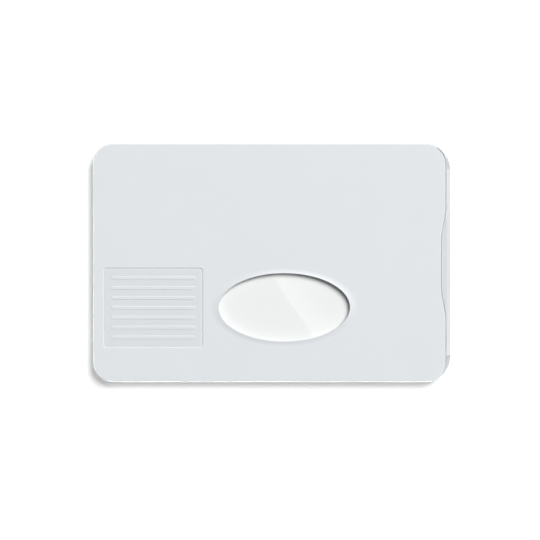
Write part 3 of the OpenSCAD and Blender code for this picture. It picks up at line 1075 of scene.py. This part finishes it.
class SLEEVE_OT_studio(bpy.types.Operator):
    """Sets the floor, the lights and the camera"""

    bl_idname = "card_sleeve.studio"
    bl_label = "Studio"

    def add_floor(self, studio):
        """White floor that keeps the object's shadow."""
        bpy.ops.object.select_all(action="DESELECT")
        bpy.ops.mesh.primitive_plane_add(size=FLOOR_SIDE, location=(0, 0, 0))
        floor = bpy.context.object
        floor.name = "studio_floor"
        material, tree, shader, _ = start_material("painted_floor", {"Roughness": 1.0})
        shader.inputs["Specular IOR Level"].default_value = 0.0
        shader.inputs["Base Color"].default_value = (*studio.floor, 1)
        glow = add_node(
            tree, "ShaderNodeMath", {0: lit_from_camera(tree), 1: studio.glow}, operation="MULTIPLY"
        )
        shader.inputs["Emission Color"].default_value = (1, 1, 1, 1)
        tree.links.new(glow.outputs[0], shader.inputs["Emission Strength"])
        floor.data.materials.append(material)

    def add_light(self, name, direction, elevation, distance, width, height, power):
        """Flat light at this direction from +X and this elevation above the floor, both in degrees."""
        data = bpy.data.lights.new(name, "AREA")
        data.shape = "RECTANGLE"
        data.size, data.size_y = width, height
        data.energy = power
        light = bpy.data.objects.new(name, data)
        light.visible_camera = False
        bpy.context.scene.collection.objects.link(light)
        a, e = math.radians(direction), math.radians(elevation)
        away = Vector((math.cos(e) * math.cos(a), math.cos(e) * math.sin(a), math.sin(e)))
        light.location = away * distance
        light.rotation_euler = away.to_track_quat("Z", "Y").to_euler()
        return light

    def add_panel(self):
        """Lit panel over the camera, which the glossy card mirrors in the right half of the window."""
        bpy.ops.object.select_all(action="DESELECT")
        bpy.ops.mesh.primitive_plane_add(size=1, location=(0, 0, 0))
        panel = bpy.context.object
        panel.name = "glare_panel"
        panel.scale = (GLARE_W * MM, GLARE_L, 1)
        bpy.ops.object.transform_apply(location=False, rotation=False, scale=True)
        turn = math.atan2(*GLARE_EDGE)
        panel.rotation_euler.z = turn
        half = GLARE_W / 2
        x, y, z = GLARE_CORNER
        panel.location = Vector((x + half * math.cos(turn), y + half * math.sin(turn), z)) * MM
        panel.visible_camera = panel.visible_diffuse = panel.visible_shadow = False
        material, tree, shader, where = start_material(
            "lit_panel", {"Base Color": (0, 0, 0, 1), "Roughness": 1.0, "Specular IOR Level": 0.0}
        )
        along = add_node(tree, "ShaderNodeSeparateXYZ", {0: where}).outputs[0]
        level = add_node(
            tree, "ShaderNodeMapRange",
            {
                "Value": along, "From Min": -half * MM, "From Max": (GLARE_FADE - half) * MM,
                "To Min": GLARE_LEVELS[0], "To Max": GLARE_LEVELS[1],
            },
        )
        shader.inputs["Emission Color"].default_value = (1, 1, 1, 1)
        tree.links.new(level.outputs["Result"], shader.inputs["Emission Strength"])
        panel.data.materials.append(material)

    def add_sky(self, studio):
        """Even light from all round, which shows as white."""
        world = bpy.data.worlds.new("studio_sky")
        bpy.context.scene.world = world
        world.use_nodes = True
        tree = world.node_tree
        sky = tree.nodes["Background"]
        sky.inputs["Color"].default_value = (1, 1, 1, 1)
        level = add_node(
            tree, "ShaderNodeMapRange",
            {"Value": lit_from_camera(tree), "To Min": studio.sky, "To Max": 1.0},
        )
        tree.links.new(level.outputs["Result"], sky.inputs["Strength"])

    def add_camera(self, studio):
        """Camera straight above, at the photograph's framing."""
        data = bpy.data.cameras.new("photo_camera")
        data.lens = studio.lens
        data.sensor_width = SENSOR
        data.clip_start = CLIP_START
        camera = bpy.data.objects.new("photo_camera", data)
        bpy.context.scene.collection.objects.link(camera)
        across = PHOTO_SIDE / PHOTO_SCALE
        x = (PHOTO_SIDE / 2 - PHOTO_CENTRE[0]) / PHOTO_SCALE
        y = (PHOTO_CENTRE[1] - PHOTO_SIDE / 2) / PHOTO_SCALE
        camera.location = Vector((x, y, FACE_Z + across * studio.lens / SENSOR)) * MM
        bpy.context.scene.camera = camera

    def execute(self, context):
        studio = context.scene.sleeve_studio
        self.add_floor(studio)
        self.add_light("key_light", *KEY_LIGHT, studio.key)
        # Strips that stand lower than the sleeve, so that they shine in the roundings of its edges alone
        for side, direction, share in STRIPS:
            strip = self.add_light(f"{side}_strip", direction, *STRIP_LIGHT, studio.strip * share)
            strip.visible_diffuse = False
        self.add_panel()
        self.add_sky(studio)
        self.add_camera(studio)
        context.scene.view_settings.view_transform = "Standard"
        return {"FINISHED"}


class SLEEVE_PT_panel(bpy.types.Panel):
    """Lists the steps that build the sleeve"""

    bl_label = "Card sleeve"
    bl_idname = "SLEEVE_PT_panel"
    bl_space_type = "VIEW_3D"
    bl_region_type = "UI"
    bl_category = "Card sleeve"

    def draw(self, context):
        for group in (context.scene.sleeve_sizes, context.scene.sleeve_colours, context.scene.sleeve_studio):
            for name in group.bl_rna.properties.keys():
                if name not in ("rna_type", "name"):
                    self.layout.prop(group, name)
        for step in STEPS:
            self.layout.operator(step.bl_idname)


GROUPS = {"sleeve_sizes": SleeveSizes, "sleeve_colours": SleeveColours, "sleeve_studio": SleeveStudio}
STEPS = (
    SLEEVE_OT_rear_panel, SLEEVE_OT_side_frame, SLEEVE_OT_front_cover, SLEEVE_OT_shields,
    SLEEVE_OT_card_sheets, SLEEVE_OT_card_electronics, SLEEVE_OT_card_stripe, SLEEVE_OT_studio,
)


def register():
    for part in (*GROUPS.values(), *STEPS, SLEEVE_PT_panel):
        bpy.utils.register_class(part)
    for name, group in GROUPS.items():
        setattr(bpy.types.Scene, name, bpy.props.PointerProperty(type=group))


def unregister():
    for name in GROUPS:
        delattr(bpy.types.Scene, name)
    for part in reversed((*GROUPS.values(), *STEPS, SLEEVE_PT_panel)):
        bpy.utils.unregister_class(part)


def main():
    """Builds the pieces and the stage in order."""
    register()
    bpy.ops.card_sleeve.rear_panel()
    bpy.ops.card_sleeve.side_frame()
    bpy.ops.card_sleeve.front_cover()
    bpy.ops.card_sleeve.shields()
    bpy.ops.card_sleeve.card_sheets()
    bpy.ops.card_sleeve.card_electronics()
    bpy.ops.card_sleeve.card_stripe()
    bpy.ops.card_sleeve.studio()


if __name__ == "__main__":
    main()
